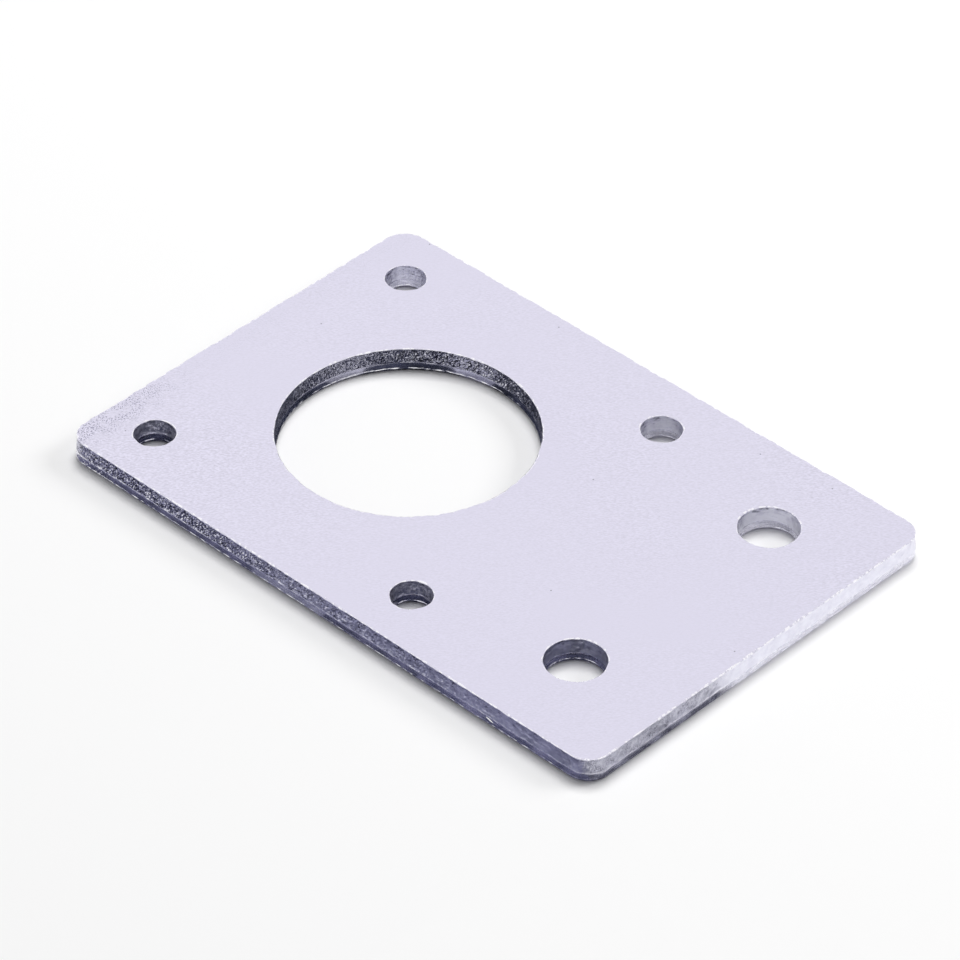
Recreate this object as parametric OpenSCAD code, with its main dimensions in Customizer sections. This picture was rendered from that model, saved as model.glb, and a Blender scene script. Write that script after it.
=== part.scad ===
// Flat motor mounting plate, blanked and pierced from steel sheet and lying burr side up.
// Z is up, X runs along the plate towards the frame holes, and the origin is on the
// pilot hole's axis, in the plane of the lower face.

/* [Motor side] */
// Diameter of the pilot hole that the motor's round boss passes through
pilot_diameter = 23; // [16:0.1:28]
// Distance between neighbouring motor screw holes, both ways
motor_pitch = 31; // [25:0.1:50]
// Diameter of the four motor screw holes
motor_hole_diameter = 3.5; // [2.5:0.1:5]
// Distance from the motor screw holes' centres to the three edges beside them
motor_margin = 5.5; // [4.5:0.1:12]

/* [Frame side] */
// Distance from the pilot hole's axis to the line of the frame holes
frame_hole_reach = 31; // [25:0.5:80]
// Distance between the two frame holes
frame_hole_spacing = 24; // [12:0.5:30]
// Diameter of the two frame holes
frame_hole_diameter = 5.2; // [3:0.1:6.5]
// Distance from the frame holes' centres to the end beside them
frame_margin = 10; // [6:0.5:20]

/* [Sheet] */
// Thickness of the sheet
sheet_thickness = 2.5; // [1.8:0.1:5]
// Radius of the plate's four corners
corner_radius = 2.3; // [1:0.1:4]

/* [Sheared edge] */
// Height of the smooth band that the die leaves on every edge and hole
land_height = 0.7; // [0.2:0.05:0.8]
// How far the torn band above it leans back from the smooth one
tear_lean = 0.08; // [0.02:0.01:0.2]
// Width of the rolled lower edge round the outline
outline_roll_width = 0.6; // [0.2:0.05:0.8]
// Height of the rolled lower edge round the outline
outline_roll_height = 0.4; // [0.1:0.05:0.6]
// Width of the rolled lower edge round each hole
hole_roll_width = 0.5; // [0.2:0.05:0.6]
// Height of the rolled lower edge round each hole
hole_roll_height = 0.35; // [0.1:0.05:0.5]

/* [Hidden] */
$fn = 96;
plate_width = motor_pitch + 2 * motor_margin;
pilot_to_end = motor_pitch / 2 + motor_margin;
plate_length = pilot_to_end + frame_hole_reach + frame_margin;
plate_centre_x = plate_length / 2 - pilot_to_end;
// How far a cutting shape runs past the face that it cuts
spill = 1;

// Radius of the arc that leaves the lower face smoothly and ends at the given width and height
function roll_radius(width, height) = (width * width + height * height) / (2 * height);

// What the rolled lower edge leaves open, beside a wall that stands at x = 0
module roll_relief(width, height) {
    radius = roll_radius(width, height);
    difference() {
        translate([-width, 0])
            square([width, height]);
        translate([-width, radius])
            circle(r = radius);
    }
}

// Section of the plate from its middle to an edge, with that edge at x = reach
module edge_section(reach) {
    tear_start = outline_roll_height + land_height;
    difference() {
        polygon([
            [0, 0],
            [reach, 0],
            [reach, tear_start],
            [reach - tear_lean, sheet_thickness],
            [0, sheet_thickness]
        ]);
        translate([reach, 0])
            roll_relief(outline_roll_width, outline_roll_height);
    }
}

// A straight bar along Y whose two long sides are sheared edges
module sheared_bar(width, length) {
    rotate([90, 0, 0])
        linear_extrude(height = length, center = true) {
            edge_section(width / 2);
            mirror([1, 0])
                edge_section(width / 2);
        }
}

// One rounded corner: the edge section swept through a quarter turn
module sheared_corner() {
    rotate_extrude(angle = 90)
        edge_section(corner_radius);
}

// The plate's outline, sheared all round
module blank() {
    straight_length = plate_length - 2 * corner_radius;
    straight_width = plate_width - 2 * corner_radius;
    sheared_bar(plate_length, straight_width);
    rotate([0, 0, 90])
        sheared_bar(plate_width, straight_length);
    for (turn = [0, 180])
        rotate([0, 0, turn]) {
            translate([straight_length / 2, straight_width / 2])
                sheared_corner();
            translate([-straight_length / 2, straight_width / 2])
                rotate([0, 0, 90])
                    sheared_corner();
        }
}

// The metal that a punch takes out: straight at the smooth band, wider above and below it
module punched_hole(diameter) {
    radius = diameter / 2;
    tear_start = hole_roll_height + land_height;
    tear_slope = tear_lean / (sheet_thickness - tear_start);
    rotate_extrude() {
        polygon([
            [0, 0],
            [radius, 0],
            [radius, tear_start],
            [radius + tear_lean + spill * tear_slope, sheet_thickness + spill],
            [0, sheet_thickness + spill]
        ]);
        translate([radius, 0])
            mirror([1, 0])
                roll_relief(hole_roll_width, hole_roll_height);
    }
}

module motor_screw_holes() {
    for (x = [-1, 1], y = [-1, 1])
        translate([x * motor_pitch / 2, y * motor_pitch / 2])
            punched_hole(motor_hole_diameter);
}

module frame_holes() {
    for (y = [-1, 1])
        translate([frame_hole_reach, y * frame_hole_spacing / 2])
            punched_hole(frame_hole_diameter);
}

// The whole bracket: one flat plate
module mounting_plate() {
    color([0.78, 0.78, 0.82])
        difference() {
            translate([plate_centre_x, 0])
                blank();
            punched_hole(pilot_diameter);
            motor_screw_holes();
            frame_holes();
        }
}

mounting_plate();
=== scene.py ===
import math

import bpy
import numpy as np
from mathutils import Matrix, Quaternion, Vector, geometry


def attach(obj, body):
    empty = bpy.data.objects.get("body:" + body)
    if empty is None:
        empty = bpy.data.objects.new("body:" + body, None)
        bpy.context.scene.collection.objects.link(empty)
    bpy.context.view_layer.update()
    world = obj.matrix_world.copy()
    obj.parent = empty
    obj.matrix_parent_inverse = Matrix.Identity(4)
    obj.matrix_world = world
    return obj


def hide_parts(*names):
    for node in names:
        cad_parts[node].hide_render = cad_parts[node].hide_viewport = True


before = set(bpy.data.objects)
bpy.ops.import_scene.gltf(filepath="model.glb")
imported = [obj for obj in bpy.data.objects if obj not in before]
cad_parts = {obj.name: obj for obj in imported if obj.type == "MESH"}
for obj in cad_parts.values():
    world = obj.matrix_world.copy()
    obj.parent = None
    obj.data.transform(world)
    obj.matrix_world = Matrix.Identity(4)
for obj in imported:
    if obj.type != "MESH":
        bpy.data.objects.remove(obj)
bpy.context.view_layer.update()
mm = 0.001

# The plate, in millimetres. Its upper face is the burr side, where every edge has a torn band
# over a smooth land over a rolled lower edge.
plate = {
    "westEnd": -21.0,
    "eastEnd": 41.0,
    "halfWidth": 21.0,
    "thickness": 2.5,
    "cornerRadius": 2.3,
    "faceDrop": 0.012,         # the flat of the upper face lies this far below the burr's crest
    "columnStep": 0.13,        # spacing of the mesh columns round the outline
    "joinWithin": 1e-6,        # points of a flat face that are closer than this are one
    "seed": 41,
}
outlineEdge = {
    "rimWidth": (0.06, 0.23),  # the upper rim is rounded over this width, which wanders
    "rimNoise": ((0.45, 0.7), (1.4, 0.5)),  # cell along the edge, and share
    "rimSwing": 1.1,           # how strongly that noise sways the width
    "burr": 0.012,             # height of the burr's highest crests
    "burrCell": 0.35,
    "burrLevel": 0.35,         # its mean share of that height, before the noise breaks it up
    "lean": 0.08,              # the torn band leans back this far at the upper rim
    "tornRows": 13,
    "tornDepth": 0.018,        # the torn band lies this far behind the land
    "relief": 0.03,            # depth of the grain of the torn band
    "reliefNoise": ((0.26, 0.22, 0.22), (0.8, 0.5, 0.4), (3.1, 1.3, 0.4)),  # cell along, down; share
    "reliefRise": 4,           # it comes in over one part in this many of the band
    "reliefFall": (1.15, 0.6),  # and eases off towards the land
    "landTop": 1.1,
    "landWander": 0.07,        # how far the top of the land wanders up and down
    "landNoise": ((2.4, 0.6), (0.6, 0.4)),  # cell along the edge, and share
    "shoulder": ((0.004, 0.05), (0.0, 0.12)),  # in from the land, and below its top
    "landBottom": 0.4,
    "landFoot": 0.05,          # a row this far above the bottom keeps the land flat
    "rollWidth": 0.6,
    "rollHeight": 0.4,
    "rollRows": 8,
    "burnishedRollRows": 2,    # the first of them have the land's finish
    "rollMargin": 0.15,        # a row this far past the roll keeps the lower face flat
}
holeEdge = dict(outlineEdge, landBottom=0.35, landTop=1.05, rollWidth=0.5, rollHeight=0.35)

# The rows of the upper rim, from the face outwards.
rimRows = [
    # how far in: in rim widths and in mm; how far up: in burrs, less rim widths; the next strip's finish
    (0.0, 0.55, 0.0, 0.0, "rolledFace"),
    (0.0, 0.38, 0.0, 0.0, "rolledFace"),
    (1.0, 0.08, 0.0, 0.0, "rolledFace"),
    (0.75, 0.0, 1.0, 0.0, "burrRim"),
    (0.42, 0.0, 1.0, 0.05, "burrRim"),
    (0.16, 0.0, 0.5, 0.25, "burrRim"),
    (0.02, 0.0, 0.0, 0.62, "tornBand"),
]
holes = {
    "pilotHole": {"centre": (0.0, 0.0), "radius": 11.5, "step": 0.13},
    "motorScrewHoleA": {"centre": (-15.5, -15.5), "radius": 1.75, "step": 0.1},
    "motorScrewHoleB": {"centre": (-15.5, 15.5), "radius": 1.75, "step": 0.1},
    "motorScrewHoleC": {"centre": (15.5, 15.5), "radius": 1.75, "step": 0.1},
    "motorScrewHoleD": {"centre": (15.5, -15.5), "radius": 1.75, "step": 0.1},
    "frameHoleA": {"centre": (31.0, 12.0), "radius": 2.6, "step": 0.11},
    "frameHoleB": {"centre": (31.0, -12.0), "radius": 2.6, "step": 0.11},
}
finishes = ["rolledFace", "burrRim", "tornBand", "burnishedLand"]


def outlineRing(step):
    # evenly spaced points round the outline, anticlockwise, with outward normals
    radius = plate["cornerRadius"]
    low = np.array([plate["westEnd"] + radius, -plate["halfWidth"] + radius])
    high = np.array([plate["eastEnd"] - radius, plate["halfWidth"] - radius])
    centres = [(high[0], low[1]), (high[0], high[1]), (low[0], high[1]), (low[0], low[1])]
    start = np.array([low[0], low[1] - radius])
    normal = np.array([0.0, -1.0])
    stretches = []
    lengths = []
    for centre, angle in zip(centres, (-90, 0, 90, 180)):
        end = np.array(centre) + radius * normal
        stretches.append(("straight", start, end, normal))
        lengths.append(np.linalg.norm(end - start))
        stretches.append(("corner", np.array(centre), math.radians(angle), None))
        lengths.append(radius * math.pi / 2)
        normal = np.array([-normal[1], normal[0]])
        start = np.array(centre) + radius * normal
    total = sum(lengths)
    count = round(total / step)
    along = np.arange(count) * total / count
    points = np.zeros((count, 2))
    normals = np.zeros((count, 2))
    begin = 0.0
    for stretch, length in zip(stretches, lengths):
        inside = (along >= begin) & (along < begin + length)
        part = (along[inside] - begin)[:, None]
        if stretch[0] == "straight":
            points[inside] = stretch[1] + (stretch[2] - stretch[1]) * part / length
            normals[inside] = stretch[3]
        else:
            turn = stretch[2] + part[:, 0] / radius
            normals[inside] = np.stack([np.cos(turn), np.sin(turn)], 1)
            points[inside] = stretch[1] + radius * normals[inside]
        begin += length
    return {"points": points, "normals": normals, "along": along, "length": total}


def holeRing(centre, radius, step):
    # evenly spaced points round a hole, clockwise, with normals towards its axis
    length = 2 * math.pi * radius
    count = round(length / step)
    turn = -np.arange(count) * 2 * math.pi / count
    outward = np.stack([np.cos(turn), np.sin(turn)], 1)
    along = np.arange(count) * length / count
    points = np.array(centre) + radius * outward
    return {"points": points, "normals": -outward, "along": along, "length": length}


def ringNoise(generator, ring, depth, cellAlong, cellDown):
    # smooth value noise from -1 to 1 that closes on itself round the ring
    countAlong = max(3, round(ring["length"] / cellAlong))
    countDown = int(depth.max() / cellDown) + 3
    grid = generator.random((countDown, countAlong)) * 2 - 1
    across = np.broadcast_to(ring["along"] / ring["length"] * countAlong, depth.shape)
    down = depth / cellDown
    i = np.floor(across).astype(int)
    j = np.floor(down).astype(int)
    u = across - i
    v = down - j
    u = u * u * (3 - 2 * u)
    v = v * v * (3 - 2 * v)
    i0 = i % countAlong
    i1 = (i + 1) % countAlong
    upper = grid[j, i0] * (1 - u) + grid[j, i1] * u
    lower = grid[j + 1, i0] * (1 - u) + grid[j + 1, i1] * u
    return upper * (1 - v) + lower * v


def edgeRows(ring, edge, generator):
    # the section of one edge, row by row from the upper face to the lower one:
    # how far each row stands in from the full size, its height, and the finish of each strip
    flat = np.zeros((1, len(ring["along"])))
    face = plate["thickness"] - plate["faceDrop"]
    rows = []

    def alongNoise(cell):
        return ringNoise(generator, ring, flat, cell, 1)[0]

    def addRow(inset, height, finish):
        rows.append((inset + flat[0], height + flat[0], finish))

    narrow, wide = edge["rimWidth"]
    wander = sum(share * alongNoise(cell) for cell, share in edge["rimNoise"])
    rim = narrow + (wide - narrow) * np.clip(0.5 + edge["rimSwing"] * wander, 0, 1)
    burr = edge["burr"] * np.clip(edge["burrLevel"] + alongNoise(edge["burrCell"]), 0, 1)
    lean = edge["lean"]
    for rims, inset, burrs, drop, finish in rimRows:
        addRow(lean + rim * rims + inset, face + burr * burrs - rim * drop, finish)
    tornTop = rows[-1][1]
    wander = sum(share * alongNoise(cell) for cell, share in edge["landNoise"])
    landTop = edge["landTop"] + edge["landWander"] * wander
    down = (np.arange(1, edge["tornRows"] + 1) / edge["tornRows"])[:, None]
    heights = tornTop + (landTop - tornTop) * down
    depth = plate["thickness"] - heights
    grain = sum(share * ringNoise(generator, ring, depth, along, across)
                for along, across, share in edge["reliefNoise"])
    crest, slope = edge["reliefFall"]
    fade = np.clip(np.minimum(down * edge["reliefRise"], crest - down * slope), 0, 1)
    insets = lean * (1 - down) + edge["tornDepth"] + edge["relief"] * (0.5 + 0.5 * grain) * fade
    for inset, height in zip(insets, heights):
        addRow(inset, height, "tornBand")
    rows[-1] = (rows[-1][0], rows[-1][1], "burnishedLand")
    for inset, drop in edge["shoulder"]:
        addRow(inset, landTop - drop, "burnishedLand")
    addRow(0.0, (landTop + edge["landBottom"]) / 2, "burnishedLand")
    addRow(0.0, edge["landBottom"] + edge["landFoot"], "burnishedLand")
    addRow(0.0, edge["landBottom"], "burnishedLand")
    radius = (edge["rollWidth"] ** 2 + edge["rollHeight"] ** 2) / (2 * edge["rollHeight"])
    steepest = math.asin(edge["rollWidth"] / radius)
    for k in range(1, edge["rollRows"] + 1):
        angle = steepest * (1 - k / edge["rollRows"])
        finish = "burnishedLand" if k <= edge["burnishedRollRows"] else "rolledFace"
        addRow(edge["rollWidth"] - radius * math.sin(angle), radius - radius * math.cos(angle), finish)
    addRow(edge["rollWidth"] + edge["rollMargin"], 0.0, "rolledFace")
    return rows


def fillFace(rings, rowIndex, vertices, upward):
    # triangles of a flat face between the inner row of the outline and those of the holes
    points = []
    numbers = []
    edges = []
    openings = []
    for ring in rings:
        first = ring["firstVertex"] + rowIndex * ring["count"]
        base = len(points)
        for k in range(ring["count"]):
            points.append(Vector(vertices[first + k][:2]))
            numbers.append(first + k)
            edges.append((base + k, base + (k + 1) % ring["count"]))
        if "centre" in ring:
            reach = np.linalg.norm(np.array(points[base]) - ring["centre"])
            openings.append((ring["centre"], reach * math.cos(math.pi / ring["count"])))
    found = geometry.delaunay_2d_cdt(points, edges, [], 0, plate["joinWithin"])
    places, triangles, origins = found[0], found[2], found[3]
    corners = np.array([[*p] for p in places])
    faces = []
    for triangle in triangles:
        middle = corners[list(triangle)].mean(0)
        if any(np.linalg.norm(middle - centre) < reach for centre, reach in openings):
            continue
        a, b, c = (numbers[origins[k][0]] for k in triangle)
        faces.append((a, b, c) if upward else (a, c, b))
    return faces


def buildPlate():
    generator = np.random.default_rng(plate["seed"])
    rings = [dict(outlineRing(plate["columnStep"]), edge=outlineEdge)]
    for hole in holes.values():
        rings.append(dict(holeRing(**hole), edge=holeEdge, centre=np.array(hole["centre"])))
    vertices = []
    faces = []
    faceFinish = []
    for ring in rings:
        rows = edgeRows(ring, ring["edge"], generator)
        count = len(ring["along"])
        ring["count"] = count
        ring["firstVertex"] = len(vertices)
        for inset, height, finish in rows:
            places = ring["points"] - ring["normals"] * inset[:, None]
            vertices.extend(np.column_stack([places, height]).tolist())
        for row in range(len(rows) - 1):
            start = ring["firstVertex"] + row * count
            finish = finishes.index(rows[row][2])
            for k in range(count):
                after = (k + 1) % count
                faces.append((start + k, start + count + k, start + count + after, start + after))
                faceFinish.append(finish)
    flatFaces = fillFace(rings, 0, vertices, True) + fillFace(rings, len(rows) - 1, vertices, False)
    faces += flatFaces
    faceFinish += [finishes.index("rolledFace")] * len(flatFaces)
    mesh = bpy.data.meshes.new("punchedPlate")
    mesh.from_pydata((np.array(vertices) * mm).tolist(), [], faces)
    mesh.polygons.foreach_set("use_smooth", [True] * len(faces))
    mesh.polygons.foreach_set("material_index", faceFinish)
    mesh.update()
    mesh.validate()
    piece = bpy.data.objects.new("punchedPlate", mesh)
    bpy.context.scene.collection.objects.link(piece)
    triangles = sum(len(face) - 2 for face in faces)
    print("plate mesh:", len(vertices), "vertices,", triangles, "triangles")
    return piece


def hexColour(code):
    # sRGB hex to the linear colour that the shaders take
    values = [int(code[k:k + 2], 16) / 255 for k in (1, 3, 5)]
    return [v / 12.92 if v <= 0.04045 else ((v + 0.055) / 1.055) ** 2.4 for v in values] + [1.0]


def grey(level):
    return (level, level, level, 1.0)


smoothly = {"interpolation_type": "SMOOTHSTEP"}
mixNumbers = {"data_type": "FLOAT"}
mixColours = {"data_type": "RGBA"}
numberA, numberB, colourA, colourB = 2, 3, 6, 7  # inputs of a mix node
mixedColour = 2  # and its output
noiseMiddle = 0.5  # what a noise, or a cell's random value, wavers about


def addNode(tree, kind, settings=None, inputs=None, ramp=None):
    # an input is given a value, a socket, or a node, whose first output it takes
    node = tree.nodes.new(kind)
    for name, value in (settings or {}).items():
        setattr(node, name, value)
    for name, value in (inputs or {}).items():
        if isinstance(value, bpy.types.Node):
            value = value.outputs[0]
        if isinstance(value, bpy.types.NodeSocket):
            tree.links.new(value, node.inputs[name])
        else:
            node.inputs[name].default_value = value
    if ramp:
        stops = node.color_ramp.elements
        while len(stops) < len(ramp):
            stops.new(1.0)
        for stop, (place, colour) in zip(stops, ramp):
            stop.position = place
            stop.color = colour
    return node


def span(limits):
    # inputs that map one range to another: its two limits, and the values there if not 0 and 1
    return dict(zip(("From Min", "From Max", "To Min", "To Max"), limits))


def startMaterial(name):
    material = bpy.data.materials.new(name)
    material.use_nodes = True
    tree = material.node_tree
    tree.nodes.clear()
    place = addNode(tree, "ShaderNodeTexCoord").outputs["Object"]
    # object coordinates in millimetres, so that every texture scale is one over a size in mm
    place = addNode(tree, "ShaderNodeVectorMath", {"operation": "SCALE"}, {0: place, "Scale": 1 / mm})
    return material, tree, place.outputs[0]


def distanceTo(tree, place, hole):
    # how far a place is from the middle of a hole's axis
    centre = (*holes[hole]["centre"], plate["thickness"] / 2)
    return addNode(tree, "ShaderNodeVectorMath", {"operation": "DISTANCE"}, {
        0: place, 1: centre}).outputs["Value"]


screwHoleLimits = (3.8, 3.2)  # mm from a hole's middle: outside it, and on its wall


def inScrewHole(tree, place):
    # 1 on the walls of the four motor screw holes and the two frame holes, 0 elsewhere
    mirrored = addNode(tree, "ShaderNodeVectorMath", {"operation": "ABSOLUTE"}, {0: place})
    nearest = addNode(tree, "ShaderNodeMath", {"operation": "MINIMUM"}, {
        0: distanceTo(tree, mirrored, "motorScrewHoleC"), 1: distanceTo(tree, mirrored, "frameHoleA")})
    return addNode(tree, "ShaderNodeMapRange", None, {"Value": nearest, **span(screwHoleLimits)})


def finishMaterial(tree, colour, roughness, normal):
    shader = addNode(tree, "ShaderNodeBsdfPrincipled", None, {
        "Base Color": colour, "Roughness": roughness, "Normal": normal, "Metallic": 1.0})
    addNode(tree, "ShaderNodeOutputMaterial", None, {"Surface": shader})


# In the finishes below every size is in millimetres. Limits are the X, Y or Z, or the value of a
# pattern, at which something starts and is full, and then its two values if they aren't 0 and 1.

# Bright zinc plating with a clear blue passivation over a cold rolled face: a pale, faintly lavender satin,
# with a fine orange peel that is coarsest at the west corner of the front. The peel's relief is also painted
# into the tone, as painted shade where it is low and painted light where it is high, and as specks of painted
# shade in a band along the west end.
rolledZinc = {
    # dull and bright: the peel's painted shade and painted light; speck: painted shade
    "dull": "#CDCADA",
    "bright": "#EFECFE",
    "speck": "#82819A",
    "pit": "#8E8E9C",
    "peelSize": (0.12, 0.28),  # across and along its short strokes
    "peelTurn": -45,           # degrees
    "peelHeight": 0.016,
    "grainSize": 0.14,         # drawn coarser than the real grain, which is too fine to show
    "grainHeight": 0.0016,
    "patchSize": 14.0,
    "patchLimits": (0.4, 0.6, 0.2, 0.8),
    "westLimits": (12.0, -10.0),
    "frontLimits": (-3.0, -14.0, 0.3, 1.7),
    "eastLimits": (0.0, 18.0),
    "backLimits": (-6.0, 12.0, 0.0, 0.9),
    "bandLimits": (-17.2, -19.6),
    "bandEndLimits": (-7.0, -15.0, 0.1, 1.0),
    "clumpSize": 1.2,
    "clumpLimits": (0.36, 0.56, 0.1, 1.0),
    "speckSize": 0.125,
    "speckLimits": (0.54, 0.66, 0.0, 0.9),
    "pitSize": 0.1,
    "pitFloor": 0.3,           # share of a pit's size that is fully dark
    "pitSpacing": 8.0,
    "pitShare": 0.2,           # share of the cells of that size that have a pit
    "roughness": (0.3, 0.7, 0.32, 0.42),
}


def rolledFaceMaterial():
    material, tree, place = startMaterial("satinZincOnRolledSteel")
    axes = addNode(tree, "ShaderNodeSeparateXYZ", None, {0: place})
    # the peel is coarser over the front of the west half and the back of the east half
    west = addNode(tree, "ShaderNodeMapRange", smoothly, {
        "Value": axes.outputs["X"], **span(rolledZinc["westLimits"])})
    front = addNode(tree, "ShaderNodeMapRange", smoothly, {
        "Value": axes.outputs["Y"], **span(rolledZinc["frontLimits"])})
    corner = addNode(tree, "ShaderNodeMath", {"operation": "MULTIPLY"}, {0: west, 1: front})
    east = addNode(tree, "ShaderNodeMapRange", smoothly, {
        "Value": axes.outputs["X"], **span(rolledZinc["eastLimits"])})
    back = addNode(tree, "ShaderNodeMapRange", smoothly, {
        "Value": axes.outputs["Y"], **span(rolledZinc["backLimits"])})
    corner = addNode(tree, "ShaderNodeMath", {"operation": "MULTIPLY_ADD"}, {0: east, 1: back, 2: corner})
    patch = addNode(tree, "ShaderNodeTexNoise", None, {
        "Vector": place, "Scale": 1 / rolledZinc["patchSize"], "Detail": 1.0})
    patch = addNode(tree, "ShaderNodeMapRange", smoothly, {
        "Value": patch, **span(rolledZinc["patchLimits"])})
    coarse = addNode(tree, "ShaderNodeMath", {"operation": "ADD"}, {0: patch, 1: corner})
    across, along = rolledZinc["peelSize"]
    strokes = addNode(tree, "ShaderNodeVectorRotate", {"rotation_type": "Z_AXIS"}, {
        "Vector": place, "Angle": math.radians(rolledZinc["peelTurn"])})
    strokes = addNode(tree, "ShaderNodeVectorMath", {"operation": "MULTIPLY"}, {
        0: strokes, 1: (across / along, 1.0, 1.0)})
    peel = addNode(tree, "ShaderNodeTexNoise", None, {
        "Vector": strokes, "Scale": 1 / across, "Detail": 2.0, "Roughness": 0.55})
    height = addNode(tree, "ShaderNodeMath", {"operation": "MULTIPLY"}, {0: peel, 1: coarse})
    bump = addNode(tree, "ShaderNodeBump", None, {
        "Strength": 1.0, "Distance": rolledZinc["peelHeight"] * mm, "Height": height})
    grain = addNode(tree, "ShaderNodeTexNoise", None, {
        "Vector": place, "Scale": 1 / rolledZinc["grainSize"], "Detail": 1.0, "Roughness": 0.5})
    bump = addNode(tree, "ShaderNodeBump", None, {
        "Strength": 1.0, "Distance": rolledZinc["grainHeight"] * mm, "Height": grain, "Normal": bump})
    # the peel painted into the tone: painted shade where it is low, painted light where it is high
    paintedPeelShading = addNode(tree, "ShaderNodeMath", {"operation": "SUBTRACT"}, {0: peel, 1: noiseMiddle})
    paintedPeelShading = addNode(tree, "ShaderNodeMath", {"operation": "MULTIPLY_ADD"}, {
        0: paintedPeelShading, 1: coarse, 2: noiseMiddle})
    tone = addNode(tree, "ShaderNodeMix", mixColours, {
        "Factor": paintedPeelShading, colourA: hexColour(rolledZinc["dull"]), colourB: hexColour(rolledZinc["bright"])})
    # small dark specks of painted shade, in clumps, in a band along the west end
    westBand = addNode(tree, "ShaderNodeMapRange", smoothly, {
        "Value": axes.outputs["X"], **span(rolledZinc["bandLimits"])})
    bandEnd = addNode(tree, "ShaderNodeMapRange", smoothly, {
        "Value": axes.outputs["Y"], **span(rolledZinc["bandEndLimits"])})
    westBand = addNode(tree, "ShaderNodeMath", {"operation": "MULTIPLY"}, {0: westBand, 1: bandEnd})
    clumps = addNode(tree, "ShaderNodeTexNoise", None, {
        "Vector": place, "Scale": 1 / rolledZinc["clumpSize"]})
    clumps = addNode(tree, "ShaderNodeMapRange", smoothly, {
        "Value": clumps, **span(rolledZinc["clumpLimits"])})
    speckled = addNode(tree, "ShaderNodeMath", {"operation": "MULTIPLY"}, {0: westBand, 1: clumps})
    specks = addNode(tree, "ShaderNodeTexNoise", None, {
        "Vector": place, "Scale": 1 / rolledZinc["speckSize"], "Detail": 0.0})
    specks = addNode(tree, "ShaderNodeMapRange", smoothly, {
        "Value": specks, **span(rolledZinc["speckLimits"])})
    specks = addNode(tree, "ShaderNodeMath", {"operation": "MULTIPLY"}, {0: specks, 1: speckled})
    tone = addNode(tree, "ShaderNodeMix", mixColours, {
        "Factor": specks, colourA: tone.outputs[mixedColour], colourB: hexColour(rolledZinc["speck"])})
    # a few pits, one to each cell that the cell's own random value picks
    pits = addNode(tree, "ShaderNodeTexVoronoi", {"voronoi_dimensions": "2D"}, {
        "Vector": place, "Scale": 1 / rolledZinc["pitSpacing"]})
    pitReach = rolledZinc["pitSize"] / rolledZinc["pitSpacing"]
    near = addNode(tree, "ShaderNodeMapRange", smoothly, {
        "Value": pits.outputs["Distance"], **span((pitReach, rolledZinc["pitFloor"] * pitReach))})
    picked = addNode(tree, "ShaderNodeSeparateXYZ", None, {0: pits.outputs["Color"]})
    picked = addNode(tree, "ShaderNodeMath", {"operation": "GREATER_THAN"}, {
        0: picked.outputs["X"], 1: 1 - rolledZinc["pitShare"]})
    pit = addNode(tree, "ShaderNodeMath", {"operation": "MULTIPLY"}, {0: near, 1: picked})
    tone = addNode(tree, "ShaderNodeMix", mixColours, {
        "Factor": pit, colourA: tone.outputs[mixedColour], colourB: hexColour(rolledZinc["pit"])})
    rough = addNode(tree, "ShaderNodeMapRange", None, {"Value": peel, **span(rolledZinc["roughness"])})
    finishMaterial(tree, tone.outputs[mixedColour], rough, bump)
    return material


# The same plating on the rounded burr of the rim, broken into dashes of painted highlight: the brightest line
# on the plate.
burrZinc = {
    "tones": ((0.46, "#DDDBEA"), (0.55, "#FAF9FF")),  # between the dashes, and the painted highlight on them
    "dashSize": 0.42,
    "dashHeight": 0.01,
    "roughness": 0.26,
}


def burrRimMaterial():
    material, tree, place = startMaterial("zincBurrWithPaintedGlints")
    patches = addNode(tree, "ShaderNodeTexNoise", None, {
        "Vector": place, "Scale": 1 / burrZinc["dashSize"], "Detail": 2.0, "Roughness": 0.6})
    # dashes of painted highlight
    tone = addNode(tree, "ShaderNodeValToRGB", None, {"Fac": patches}, [
        (level, hexColour(code)) for level, code in burrZinc["tones"]])
    bump = addNode(tree, "ShaderNodeBump", None, {
        "Strength": 1.0, "Distance": burrZinc["dashHeight"] * mm, "Height": patches})
    finishMaterial(tree, tone, burrZinc["roughness"], bump)
    return material
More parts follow.
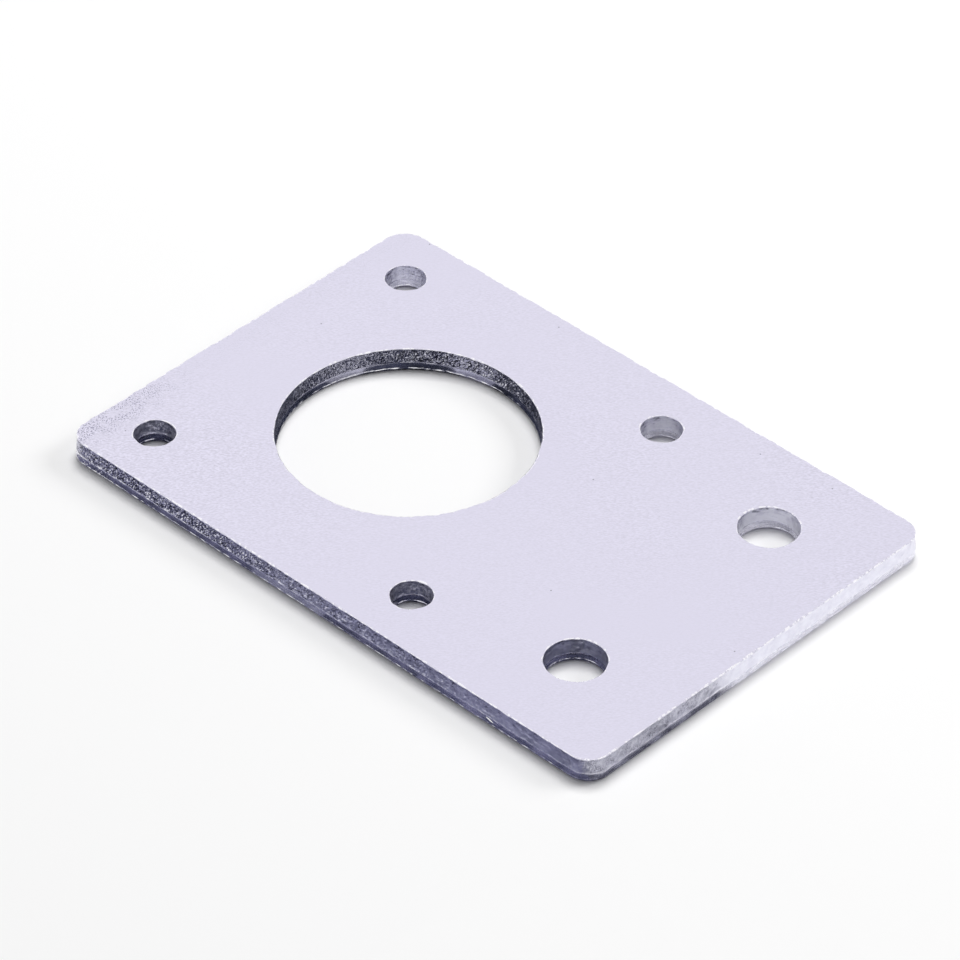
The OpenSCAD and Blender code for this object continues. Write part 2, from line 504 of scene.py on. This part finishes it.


# Plating over torn steel: granular, where each grain's own facet catches or loses the light, with dark pits
# of painted shade and bright grains of painted glints. Towards the east end the tear is finer and smooths
# out.
tornZinc = {
    "tones": ((0.3, "#4C4D62"), (0.58, "#E2E1EE"), (0.84, "#F6F6FF")),  # painted shade in the pits, body, painted glints on the grains
    "facetSize": (0.075, 0.16),  # across and along the strokes of the tear
    "facetTurn": 45,             # degrees
    "facetTilt": 1.2,
    "facetShare": (0.74, 1.0),   # of the tone, outside the pilot hole and in it
    "cloudSize": 1.0,
    "cloudReach": 8.0,           # how far the clouds move the limits of the coarse tear
    "coarseLimits": (36.0, 0.0, 0.12, 0.8),  # how coarse the tear is, from east to west
    "screwHoleShare": (0.0, 1.0, 1.0, 0.4),  # how much of that the screw holes have
    "pilotLimits": (12.6, 12.0),
    "pilotPaintedShade": -0.14,
    "eastEndLimits": (39.2, 40.4),
    "nearEndLimits": (-3.5, -8.0, 0.06, 0.36),  # how coarse the east end is, from far to near
    "evenLimits": (-7.0, -4.0, 0.0, 0.55),  # how much of its mottle it loses, from near to far
    "foot": (0.2, 0.8, 1.0, 0.56),  # tone at the foot of the band, by how coarse the tear is
    "footAtEnd": 0.68,
    "brow": 0.56,                # tone at the top of the band
    "browAtEnd": 0.66,
    "browAndFoot": (2.45, 1.1),  # their heights
    "streakSize": 0.8,
    "streakFlatness": 3.5,
    "streakLimits": (43.0, 27.0),
    "streakShade": 1.5,
    "streakLift": (0.54, 0.68, 0.0, 0.3),  # how far the bright streaks turn up
    "streakHeights": (2.2, 1.6, 0.3, 1.0),
    "seamLift": (1.4, 1.15, 0.0, 0.22),    # and the dashes just over the land
    "dashLimits": (0.44, 0.58),
    "westSeamLimits": (3.0, -3.0, 0.25, 1.5),
    "outsideLimits": (-16.5, -18.5, 0.25, 1.0),  # how much of both, up to the front wall
    "waveSize": 0.7,
    "waveHeight": 0.12,
    "waveStrength": (0.2, 0.8, 1.0, 0.15),  # by how coarse the tear is
    "fineSize": 0.1,             # drawn coarser than the real grain, which is too fine to show
    "fineHeight": 0.012,
    "roughness": (0.0, 1.0, 0.28, 0.46),
}


def tornMaterial():
    material, tree, place = startMaterial("zincOnTornSteel")
    axes = addNode(tree, "ShaderNodeSeparateXYZ", None, {0: place})
    across, along = tornZinc["facetSize"]
    strokes = addNode(tree, "ShaderNodeVectorRotate", {"rotation_type": "Y_AXIS"}, {
        "Vector": place, "Angle": math.radians(tornZinc["facetTurn"])})
    strokes = addNode(tree, "ShaderNodeVectorMath", {"operation": "MULTIPLY"}, {
        0: strokes, 1: (across / along, 1.0, 1.0)})
    facet = addNode(tree, "ShaderNodeTexVoronoi", None, {"Vector": strokes, "Scale": 1 / across})
    parts = addNode(tree, "ShaderNodeSeparateXYZ", None, {0: facet.outputs["Color"]})
    cloud = addNode(tree, "ShaderNodeTexNoise", None, {
        "Vector": place, "Scale": 1 / tornZinc["cloudSize"], "Detail": 3.0, "Roughness": 0.6})
    # how coarse the tear is: coarsest in the west, finest on the east end and in the screw holes
    edge = addNode(tree, "ShaderNodeMath", {"operation": "MULTIPLY_ADD"}, {
        0: cloud, 1: tornZinc["cloudReach"], 2: axes.outputs["X"]})
    coarse = addNode(tree, "ShaderNodeMapRange", None, {"Value": edge, **span(tornZinc["coarseLimits"])})
    eastEnd = addNode(tree, "ShaderNodeMapRange", None, {
        "Value": axes.outputs["X"], **span(tornZinc["eastEndLimits"])})
    nearEnd = addNode(tree, "ShaderNodeMapRange", smoothly, {
        "Value": axes.outputs["Y"], **span(tornZinc["nearEndLimits"])})
    coarse = addNode(tree, "ShaderNodeMix", mixNumbers, {
        "Factor": eastEnd, numberA: coarse, numberB: nearEnd})
    inHole = addNode(tree, "ShaderNodeMapRange", None, {
        "Value": inScrewHole(tree, place), **span(tornZinc["screwHoleShare"])})
    coarse = addNode(tree, "ShaderNodeMath", {"operation": "MULTIPLY"}, {0: coarse, 1: inHole})
    # the far half of the east end loses over half of its mottle
    farEnd = addNode(tree, "ShaderNodeMapRange", smoothly, {
        "Value": axes.outputs["Y"], **span(tornZinc["evenLimits"])})
    even = addNode(tree, "ShaderNodeMath", {"operation": "MULTIPLY"}, {0: farEnd, 1: eastEnd})
    uneven = addNode(tree, "ShaderNodeMath", {"operation": "SUBTRACT"}, {0: 1.0, 1: even})
    # painted shade makes the pilot hole's wall darker, with more contrast
    inPilot = addNode(tree, "ShaderNodeMapRange", None, {
        "Value": distanceTo(tree, place, "pilotHole"), **span(tornZinc["pilotLimits"])})
    outShare, inShare = tornZinc["facetShare"]
    share = addNode(tree, "ShaderNodeMapRange", None, {
        "Value": inPilot, "To Min": outShare, "To Max": inShare})
    share = addNode(tree, "ShaderNodeMath", {"operation": "MULTIPLY"}, {0: coarse, 1: share})
    # where the tear is fine it is palest just over the land, and the east end is more even
    foot = addNode(tree, "ShaderNodeMapRange", None, {"Value": coarse, **span(tornZinc["foot"])})
    foot = addNode(tree, "ShaderNodeMix", mixNumbers, {
        "Factor": eastEnd, numberA: foot, numberB: tornZinc["footAtEnd"]})
    brow = addNode(tree, "ShaderNodeMix", mixNumbers, {
        "Factor": eastEnd, numberA: tornZinc["brow"], numberB: tornZinc["browAtEnd"]})
    rise = addNode(tree, "ShaderNodeMapRange", None, {
        "Value": axes.outputs["Z"], **span(tornZinc["browAndFoot"]), "To Min": brow, "To Max": foot})
    # painted shade on the pilot hole's wall
    rise = addNode(tree, "ShaderNodeMath", {"operation": "MULTIPLY_ADD"}, {
        0: inPilot, 1: tornZinc["pilotPaintedShade"], 2: rise})
    shade = addNode(tree, "ShaderNodeMath", {"operation": "SUBTRACT"}, {0: cloud, 1: noiseMiddle})
    shade = addNode(tree, "ShaderNodeMath", {"operation": "MULTIPLY_ADD"}, {0: shade, 1: uneven, 2: rise})
    # low streaks that fade out towards the east end, both in the tone and in how they turn up
    low = addNode(tree, "ShaderNodeMapping", None, {
        "Vector": place, "Scale": (1.0, 1.0, tornZinc["streakFlatness"])})
    streaks = addNode(tree, "ShaderNodeTexNoise", None, {
        "Vector": low, "Scale": 1 / tornZinc["streakSize"], "Detail": 3.0, "Roughness": 0.65})
    streakShare = addNode(tree, "ShaderNodeMapRange", None, {
        "Value": axes.outputs["X"], **span(tornZinc["streakLimits"])})
    dim = addNode(tree, "ShaderNodeMath", {"operation": "SUBTRACT"}, {0: streaks, 1: noiseMiddle})
    dim = addNode(tree, "ShaderNodeMath", {"operation": "MULTIPLY"}, {0: dim, 1: streakShare})
    shade = addNode(tree, "ShaderNodeMath", {"operation": "MULTIPLY_ADD"}, {
        0: dim, 1: tornZinc["streakShade"], 2: shade})
    lift = addNode(tree, "ShaderNodeMapRange", smoothly, {
        "Value": streaks, **span(tornZinc["streakLift"])})
    atFoot = addNode(tree, "ShaderNodeMapRange", None, {
        "Value": axes.outputs["Z"], **span(tornZinc["streakHeights"])})
    lift = addNode(tree, "ShaderNodeMath", {"operation": "MULTIPLY"}, {0: lift, 1: atFoot})
    seam = addNode(tree, "ShaderNodeMapRange", None, {
        "Value": axes.outputs["Z"], **span(tornZinc["seamLift"])})
    westSeam = addNode(tree, "ShaderNodeMapRange", smoothly, {
        "Value": axes.outputs["X"], **span(tornZinc["westSeamLimits"])})
    seam = addNode(tree, "ShaderNodeMath", {"operation": "MULTIPLY"}, {0: seam, 1: westSeam})
    dashes = addNode(tree, "ShaderNodeMapRange", smoothly, {
        "Value": streaks, **span(tornZinc["dashLimits"])})
    lift = addNode(tree, "ShaderNodeMath", {"operation": "MULTIPLY_ADD"}, {0: seam, 1: dashes, 2: lift})
    lift = addNode(tree, "ShaderNodeMath", {"operation": "MULTIPLY"}, {0: lift, 1: streakShare})
    outside = addNode(tree, "ShaderNodeMapRange", None, {
        "Value": axes.outputs["Y"], **span(tornZinc["outsideLimits"])})
    lift = addNode(tree, "ShaderNodeMath", {"operation": "MULTIPLY"}, {0: lift, 1: outside})
    blend = addNode(tree, "ShaderNodeMix", mixNumbers, {
        "Factor": share, numberA: shade, numberB: parts.outputs["X"]})
    tone = addNode(tree, "ShaderNodeValToRGB", None, {"Fac": blend}, [
        (level, hexColour(code)) for level, code in tornZinc["tones"]])
    # waves where the tear is fine, grain and tilted facets where it is coarse
    waves = addNode(tree, "ShaderNodeTexNoise", None, {
        "Vector": place, "Scale": 1 / tornZinc["waveSize"], "Detail": 1.0, "Roughness": 0.5})
    strength = addNode(tree, "ShaderNodeMapRange", None, {
        "Value": coarse, **span(tornZinc["waveStrength"])})
    strength = addNode(tree, "ShaderNodeMath", {"operation": "MULTIPLY"}, {0: strength, 1: uneven})
    bump = addNode(tree, "ShaderNodeBump", None, {
        "Strength": strength, "Distance": tornZinc["waveHeight"] * mm, "Height": waves})
    fine = addNode(tree, "ShaderNodeTexNoise", None, {
        "Vector": place, "Scale": 1 / tornZinc["fineSize"], "Detail": 2.0, "Roughness": 0.6})
    bump = addNode(tree, "ShaderNodeBump", None, {
        "Strength": coarse, "Distance": tornZinc["fineHeight"] * mm, "Height": fine, "Normal": bump})
    tilt = addNode(tree, "ShaderNodeVectorMath", {"operation": "SUBTRACT"}, {
        0: facet.outputs["Color"], 1: (noiseMiddle,) * 3})
    reach = addNode(tree, "ShaderNodeMath", {"operation": "MULTIPLY"}, {
        0: coarse, 1: tornZinc["facetTilt"]})
    tilt = addNode(tree, "ShaderNodeVectorMath", {"operation": "SCALE"}, {0: tilt, "Scale": reach})
    turned = addNode(tree, "ShaderNodeVectorMath", {"operation": "ADD"}, {0: bump, 1: tilt})
    up = addNode(tree, "ShaderNodeCombineXYZ", None, {"Z": lift})
    turned = addNode(tree, "ShaderNodeVectorMath", {"operation": "ADD"}, {0: turned, 1: up})
    turned = addNode(tree, "ShaderNodeVectorMath", {"operation": "NORMALIZE"}, {0: turned})
    rough = addNode(tree, "ShaderNodeMapRange", None, {
        "Value": parts.outputs["Y"], **span(tornZinc["roughness"])})
    finishMaterial(tree, tone, rough, turned)
    return material


# Plating over the land that the die burnished: smooth and even, with faint upright drag lines and low
# streaks, and a painted highlight, a bright line broken into dashes, where it ends above and below.
landZinc = {
    "tones": ((0.36, "#CAC9D8"), (0.62, "#F4F3FC")),  # between the streaks, and on them
    "toneHeight": 0.003,
    "lineSize": 0.14,            # drawn coarser than the real drag lines, which are too fine to show
    "lineFlatness": 0.06,        # below 1 the lines stand upright
    "streakSize": 0.7,
    "streakFlatness": 6.0,
    "streakShare": 0.85,
    "scuffSize": 0.13,
    "scuffLimits": (0.58, 0.7, 0.0, 0.5),
    "scuffedEnd": (-12.0, -18.0),
    "nickCentre": (29.8, -21.0, 0.84),
    "nickSlope": -14.2,          # degrees
    "nickReach": (0.56, 0.4, 0.09),  # along, into and across the nick
    "nickLimits": (1.0, 0.5),
    # the white of the painted highlights, the nick and the scuffs
    "glintsAndScuffs": "#FFFFFF",
    "glintTop": 1.25,
    "upperGlint": ((0.975, 0.0), (1.1, 0.8)),  # height and share
    "lowerGlint": ((0.3, 0.3), (0.3875, 0.8), (0.45, 0.8), (0.525, 0.0)),
    "glintLift": 0.3,             # how far the upper glint turns up, as a share of the lower one
    "dashLimits": (0.38, 0.66, 0.2, 1.0),
    "brightLimits": (3.0, -5.0, 0.0, 0.4),
    "frontLimits": (-17.0, -18.0),
    "lowerPower": 0.8,           # below 1 the lower glint gains less there than the upper one
    "faintLimits": (38.6, 40.6, 1.0, 0.25),
    "screwHoleShare": (0.0, 1.0, 1.0, 0.2),  # of the upper glint and the scuffs
    "roughness": (0.3, 0.7, 0.2, 0.32),
}


def landMaterial():
    material, tree, place = startMaterial("zincOnBurnishedSteel")
    axes = addNode(tree, "ShaderNodeSeparateXYZ", None, {0: place})
    upright = addNode(tree, "ShaderNodeMapping", None, {
        "Vector": place, "Scale": (1.0, 1.0, landZinc["lineFlatness"])})
    lines = addNode(tree, "ShaderNodeTexNoise", None, {
        "Vector": upright, "Scale": 1 / landZinc["lineSize"], "Detail": 1.0, "Roughness": 0.5})
    low = addNode(tree, "ShaderNodeMapping", None, {
        "Vector": place, "Scale": (1.0, 1.0, landZinc["streakFlatness"])})
    streaks = addNode(tree, "ShaderNodeTexNoise", None, {
        "Vector": low, "Scale": 1 / landZinc["streakSize"], "Detail": 3.0, "Roughness": 0.65})
    blend = addNode(tree, "ShaderNodeMix", mixNumbers, {
        "Factor": landZinc["streakShare"], numberA: lines, numberB: streaks})
    tone = addNode(tree, "ShaderNodeValToRGB", None, {"Fac": blend}, [
        (level, hexColour(code)) for level, code in landZinc["tones"]])
    # the two painted highlight lines, broken into dashes
    height = addNode(tree, "ShaderNodeMapRange", None, {
        "Value": axes.outputs["Z"], "From Max": landZinc["glintTop"]})
    upper, lower = [addNode(tree, "ShaderNodeValToRGB", None, {"Fac": height}, [
        (level / landZinc["glintTop"], grey(share)) for level, share in landZinc[name]])
        for name in ("upperGlint", "lowerGlint")]
    dashes = addNode(tree, "ShaderNodeMapRange", smoothly, {
        "Value": streaks, **span(landZinc["dashLimits"])})
    lower = addNode(tree, "ShaderNodeMath", {"operation": "MULTIPLY"}, {0: lower, 1: dashes})
    upper = addNode(tree, "ShaderNodeMath", {"operation": "MULTIPLY"}, {0: upper, 1: dashes})
    # on the west half of the front edge the painted highlights are brighter
    bright = addNode(tree, "ShaderNodeMapRange", smoothly, {
        "Value": axes.outputs["X"], **span(landZinc["brightLimits"])})
    front = addNode(tree, "ShaderNodeMapRange", None, {
        "Value": axes.outputs["Y"], **span(landZinc["frontLimits"])})
    bright = addNode(tree, "ShaderNodeMath", {"operation": "MULTIPLY_ADD"}, {0: bright, 1: front, 2: 1.0})
    upper = addNode(tree, "ShaderNodeMath", {"operation": "MULTIPLY"}, {0: upper, 1: bright})
    bright = addNode(tree, "ShaderNodeMath", {"operation": "POWER"}, {
        0: bright, 1: landZinc["lowerPower"]})
    lower = addNode(tree, "ShaderNodeMath", {"operation": "MULTIPLY"}, {0: lower, 1: bright})
    # they fade out on the east end, and the upper one in the screw holes
    faint = addNode(tree, "ShaderNodeMapRange", smoothly, {
        "Value": axes.outputs["X"], **span(landZinc["faintLimits"])})
    lower = addNode(tree, "ShaderNodeMath", {"operation": "MULTIPLY"}, {0: lower, 1: faint})
    upper = addNode(tree, "ShaderNodeMath", {"operation": "MULTIPLY"}, {0: upper, 1: faint})
    inHole = addNode(tree, "ShaderNodeMapRange", None, {
        "Value": inScrewHole(tree, place), **span(landZinc["screwHoleShare"])})
    upper = addNode(tree, "ShaderNodeMath", {"operation": "MULTIPLY"}, {0: upper, 1: inHole})
    # one nick in the front edge, painted white as a bright highlight
    nick = addNode(tree, "ShaderNodeVectorMath", {"operation": "SUBTRACT"}, {
        0: place, 1: landZinc["nickCentre"]})
    nick = addNode(tree, "ShaderNodeVectorRotate", {"rotation_type": "Y_AXIS"}, {
        "Vector": nick, "Angle": math.radians(landZinc["nickSlope"])})
    nick = addNode(tree, "ShaderNodeVectorMath", {"operation": "DIVIDE"}, {0: nick, 1: landZinc["nickReach"]})
    nick = addNode(tree, "ShaderNodeVectorMath", {"operation": "LENGTH"}, {0: nick})
    nick = addNode(tree, "ShaderNodeMapRange", smoothly, {
        "Value": nick.outputs["Value"], **span(landZinc["nickLimits"])})
    lower = addNode(tree, "ShaderNodeMath", {"operation": "MAXIMUM"}, {0: lower, 1: nick})
    # towards the west end the land is scuffed
    scuffs = addNode(tree, "ShaderNodeTexNoise", None, {
        "Vector": place, "Scale": 1 / landZinc["scuffSize"], "Detail": 1.0})
    scuffs = addNode(tree, "ShaderNodeMapRange", smoothly, {
        "Value": scuffs, **span(landZinc["scuffLimits"])})
    west = addNode(tree, "ShaderNodeMapRange", smoothly, {
        "Value": axes.outputs["X"], **span(landZinc["scuffedEnd"])})
    scuffs = addNode(tree, "ShaderNodeMath", {"operation": "MULTIPLY"}, {0: scuffs, 1: west})
    scuffs = addNode(tree, "ShaderNodeMath", {"operation": "MULTIPLY"}, {0: scuffs, 1: inHole})
    lower = addNode(tree, "ShaderNodeMath", {"operation": "MAXIMUM"}, {0: lower, 1: scuffs})
    # the painted highlights, the nick and the scuffs are mixed into the tone as white
    glintsAndScuffs = addNode(tree, "ShaderNodeMath", {"operation": "MAXIMUM"}, {0: upper, 1: lower})
    colour = addNode(tree, "ShaderNodeMix", mixColours, {
        "Factor": glintsAndScuffs, colourA: tone, colourB: hexColour(landZinc["glintsAndScuffs"])})
    bump = addNode(tree, "ShaderNodeBump", None, {
        "Strength": 1.0, "Distance": landZinc["toneHeight"] * mm, "Height": blend})
    lift = addNode(tree, "ShaderNodeMath", {"operation": "MULTIPLY_ADD"}, {
        0: upper, 1: landZinc["glintLift"], 2: lower})
    up = addNode(tree, "ShaderNodeCombineXYZ", None, {"Z": lift})
    turned = addNode(tree, "ShaderNodeVectorMath", {"operation": "ADD"}, {0: bump, 1: up})
    turned = addNode(tree, "ShaderNodeVectorMath", {"operation": "NORMALIZE"}, {0: turned})
    rough = addNode(tree, "ShaderNodeMapRange", None, {"Value": blend, **span(landZinc["roughness"])})
    finishMaterial(tree, colour.outputs[mixedColour], rough, turned)
    return material


# The studio: a white table in a white surround, two lamps that light the table, and cards that lie on the
# table round the plate and under its holes, which only the metal mirrors: painted reflections, darker and
# paler than the white table.
studio = {
    "tableSize": 4.0,              # metres
    "tableLevel": -0.02,           # mm, clear of the plate's lower face
    "tableColour": "#F7F7F7",
    "tableRoughness": 0.9,
    "tableSpecular": 0.2,
    "worldLevel": 0.34,            # what the surround gives the table; its own white is 1
    "mirroredSky": (0.885, 1.02),  # what the metal mirrors at the horizon and overhead
    "glowDirection": (-0.83, 0.5, 0.25),  # a softly brighter part of it
    "glowLimits": (0.7, 1.0, 0.0, 0.12),
    "lamps": {
        # name: direction from the plate, distance, width, height in metres, brightness
        "overheadSoftBox": ((-0.15, 0.25, 0.96), 0.7, 0.3, 0.3, 10.5),
        "keySoftBox": ((0.45, 0.68, 0.6), 0.7, 0.3, 0.3, 5.5),
    },
    "cardLevel": -0.018,           # mm, of the first card
    "cardStep": 0.0008,            # and how much higher each next one lies
    "mottleSize": 2.0,             # mm, of the cards' two colours
    "mottleLimits": (0.38, 0.62),
    "fadeLimits": (-5.0, -2.4),    # the Y between which the cards named in fading turn white
    "fading": ("rightCard", "rightGreyCard"),
    "cards": {
        # name: its two colours, and its corners in millimetres
        "frontCard": (("#525468", "#7A7A94"), (
            (-20.6, 12), (-20.6, -20), (-21.4, -24.2), (40.9, -24.2), (40.9, -8), (8, 12))),
        "frontGreyCard": (("#80809A", "#A8A8C0"), (
            (-21.4, -24.2), (-400, -60), (-400, -400), (40.9, -400), (40.9, -24.2))),
        "rightCard": (("#565762", "#8E8F9A"), ((40.9, -400), (42.0, -400), (42.0, -2), (40.9, -2))),
        "rightGreyCard": (("#A0A0A4", "#DADADE"), ((42.0, -400), (400, -400), (400, -2), (42.0, -2))),
        "frontGapCard": (("#8E8FA4", "#A8A9BC"), ((1.5, -21.1), (10, -21.1), (10, -22.1), (1.5, -22.1))),
        "frontEastCard": (("#646680", "#9090AC"), ((21, -21.3), (38.5, -21.3), (38.5, -22.0), (21, -22.0))),
        # painted reflections: darker and paler patches under the holes
        "pilotCard": (("#2C2F3A", "#444758"), (
            (-11.6, -9), (-4, -9), (5, -1), (10, 6), (10, 12), (-11.6, 12))),
        "pilotGreyCardA": (("#84848E", "#94949C"), ((-11.6, 2.2), (-9.9, 1.9), (-9.8, 4.8), (-11.2, 4.8))),
        "pilotPaleCardA": (("#BCBCC6", "#CCCCD4"), ((-9.9, 1.9), (-6.6, 1.6), (-6.4, 5.4), (-9.8, 4.8))),
        "pilotGreyCardB": (("#9090A0", "#A0A0B0"), ((-4.4, 9.9), (-1.5, 9.9), (-1.2, 11.4), (-4.2, 11.4))),
        "pilotPaleCardB": (("#BCBCCA", "#CCCCDA"), ((-5.2, 6.6), (-2.0, 6.4), (-1.5, 9.9), (-4.4, 9.9))),
        "holeCardA": (("#30323E", "#44465A"), (
            (-17.4, -17.4), (-13.6, -17.4), (-13.6, -13.6), (-17.4, -13.6))),
        "holeCardB": (("#30323E", "#44465A"), ((13.6, -17.4), (17.4, -17.4), (17.4, -13.6), (13.6, -13.6))),
        "holeCardC": (("#9C9CA8", "#ACACB8"), ((13.4, -16.5), (14.3, -16.5), (14.3, -15.0), (13.4, -14.6))),
        "holeCardD": (("#1E2028", "#303240"), ((29.5, -11.2), (30.3, -10.5), (33.2, -13.2), (32.2, -14.2))),
        "holeCardE": (("#ACACB0", "#BCBCC0"), (
            (13.6, 13.6), (17.4, 13.6), (17.4, 15.9), (14.9, 16.9), (14.65, 16.5), (14.4, 15.7),
            (13.6, 15.3))),
        "holeCardF": (("#C0C0C4", "#D0D0D4"), (
            (28.2, 9.2), (33.8, 9.2), (33.8, 12.4), (30.2, 14.4), (29.8, 14.2), (29.6, 12.9),
            (28.2, 11.8))),
        "holeCardG": (("#D0D0D6", "#E0E0E6"), ((-17.4, 13.6), (-13.6, 13.6), (-13.6, 17.4), (-17.4, 17.4))),
    },
}


def addStage(name, corners, material):
    # a flat sheet of the studio, on the table or the table itself
    mesh = bpy.data.meshes.new(name)
    mesh.from_pydata(corners, [], [tuple(range(len(corners)))])
    mesh.materials.append(material)
    sheet = bpy.data.objects.new(name, mesh)
    bpy.context.scene.collection.objects.link(sheet)
    return sheet


def addCard(name, height, colours, corners):
    # a card of painted reflection, which the metal mirrors and which the camera and the table don't see
    material, tree, place = startMaterial(name + "Paper")
    mottle = addNode(tree, "ShaderNodeTexNoise", None, {
        "Vector": place, "Scale": 1 / studio["mottleSize"], "Detail": 1.0})
    colour = addNode(tree, "ShaderNodeValToRGB", None, {"Fac": mottle}, [
        (level, hexColour(code)) for level, code in zip(studio["mottleLimits"], colours)]).outputs[0]
    if name in studio["fading"]:
        axes = addNode(tree, "ShaderNodeSeparateXYZ", None, {0: place})
        share = addNode(tree, "ShaderNodeMapRange", None, {
            "Value": axes.outputs["Y"], **span(studio["fadeLimits"])})
        colour = addNode(tree, "ShaderNodeMix", mixColours, {
            "Factor": share, colourA: colour, colourB: hexColour(studio["tableColour"])}).outputs[mixedColour]
    paper = addNode(tree, "ShaderNodeBsdfDiffuse", None, {"Color": colour})
    addNode(tree, "ShaderNodeOutputMaterial", None, {"Surface": paper})
    card = addStage(name, [(x * mm, y * mm, height * mm) for x, y in corners], material)
    card.visible_camera = False
    card.visible_diffuse = False
    card.visible_shadow = False


def addTable():
    # matt white paper, with next to no shine
    material = bpy.data.materials.new("whitePaperTable")
    material.use_nodes = True
    shader = material.node_tree.nodes["Principled BSDF"]
    shader.inputs["Base Color"].default_value = hexColour(studio["tableColour"])
    shader.inputs["Roughness"].default_value = studio["tableRoughness"]
    shader.inputs["Specular IOR Level"].default_value = studio["tableSpecular"]
    reach = studio["tableSize"] / 2
    corners = [(-reach, -reach, 0), (reach, -reach, 0), (reach, reach, 0), (-reach, reach, 0)]
    table = addStage("whiteTable", corners, material)
    table.location.z = studio["tableLevel"] * mm


def buildWorld():
    world = bpy.data.worlds.new("studioWorld")
    bpy.context.scene.world = world
    world.use_nodes = True
    tree = world.node_tree
    path = addNode(tree, "ShaderNodeLightPath")
    # the camera, metal and glass see a white surround; the table is lit at a plainer level
    seen = addNode(tree, "ShaderNodeMath", {"operation": "MAXIMUM"}, {
        0: path.outputs["Is Camera Ray"], 1: path.outputs["Is Glossy Ray"]})
    seen = addNode(tree, "ShaderNodeMath", {"operation": "MAXIMUM"}, {
        0: seen, 1: path.outputs["Is Transmission Ray"]})
    # what the metal mirrors is softly brighter overhead than at the horizon
    place = addNode(tree, "ShaderNodeTexCoord").outputs["Generated"]
    axes = addNode(tree, "ShaderNodeSeparateXYZ", None, {0: place})
    horizon, overhead = studio["mirroredSky"]
    sky = addNode(tree, "ShaderNodeMapRange", None, {
        "Value": axes.outputs["Z"], "To Min": horizon, "To Max": overhead})
    glow = addNode(tree, "ShaderNodeVectorMath", {"operation": "DOT_PRODUCT"}, {
        0: place, 1: tuple(Vector(studio["glowDirection"]).normalized())})
    glow = addNode(tree, "ShaderNodeMapRange", smoothly, {
        "Value": glow.outputs["Value"], **span(studio["glowLimits"])})
    sky = addNode(tree, "ShaderNodeMath", {"operation": "ADD"}, {0: sky, 1: glow})
    white = addNode(tree, "ShaderNodeMix", mixNumbers, {
        "Factor": path.outputs["Is Camera Ray"], numberA: sky, numberB: 1.0})
    level = addNode(tree, "ShaderNodeMix", mixNumbers, {
        "Factor": seen, numberA: studio["worldLevel"], numberB: white})
    background = tree.nodes["Background"]
    background.inputs["Color"].default_value = grey(1.0)
    tree.links.new(level.outputs[0], background.inputs["Strength"])


def addLamp(name, direction, distance, width, height, brightness):
    # a soft box that lights the table; neither the camera nor the metal sees the box itself
    lamp = bpy.data.lights.new(name, "AREA")
    lamp.shape = "RECTANGLE"
    lamp.size = width
    lamp.size_y = height
    lamp.energy = brightness * math.pi * width * height
    box = bpy.data.objects.new(name, lamp)
    box.location = Vector(direction).normalized() * distance
    box.rotation_mode = "QUATERNION"
    box.rotation_quaternion = (-Vector(direction)).to_track_quat("-Z", "Y")
    box.visible_camera = False
    box.visible_glossy = False
    bpy.context.scene.collection.objects.link(box)


def buildStudio():
    addTable()
    buildWorld()
    for name, lamp in studio["lamps"].items():
        addLamp(name, *lamp)
    for k, (name, card) in enumerate(studio["cards"].items()):
        addCard(name, studio["cardLevel"] + studio["cardStep"] * k, *card)
    print("studio: table, world,", len(studio["lamps"]), "lamps,", len(studio["cards"]), "cards")


# The camera stands where the photograph was taken from.
shot = {
    "place": (275.494, -281.310, 316.905),
    "aim": (9.091, -0.545, 2.5),
    "rollDegrees": 0.473,
    "lens": 218.549,
    "sensorWidth": 36.0,
    "clip": (0.01, 20.0),  # metres
}


def buildCamera():
    data = bpy.data.cameras.new("photoCamera")
    data.lens = shot["lens"]
    data.sensor_width = shot["sensorWidth"]
    data.clip_start, data.clip_end = shot["clip"]
    camera = bpy.data.objects.new("photoCamera", data)
    camera.location = Vector(shot["place"]) * mm
    forward = Vector(shot["aim"]) - Vector(shot["place"])
    roll = Quaternion((0, 0, 1), math.radians(shot["rollDegrees"]))
    camera.rotation_mode = "QUATERNION"
    camera.rotation_quaternion = forward.to_track_quat("-Z", "Y") @ roll
    bpy.context.scene.collection.objects.link(camera)
    bpy.context.scene.camera = camera
    bpy.context.scene.view_settings.view_transform = "Standard"
    print("camera:", round(shot["lens"], 1), "mm")


piece = buildPlate()
for material in (rolledFaceMaterial(), burrRimMaterial(), tornMaterial(), landMaterial()):
    piece.data.materials.append(material)
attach(piece, "root")
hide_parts("mounting_plate")
print("finishes:", ", ".join(m.name for m in piece.data.materials))
buildStudio()
buildCamera()
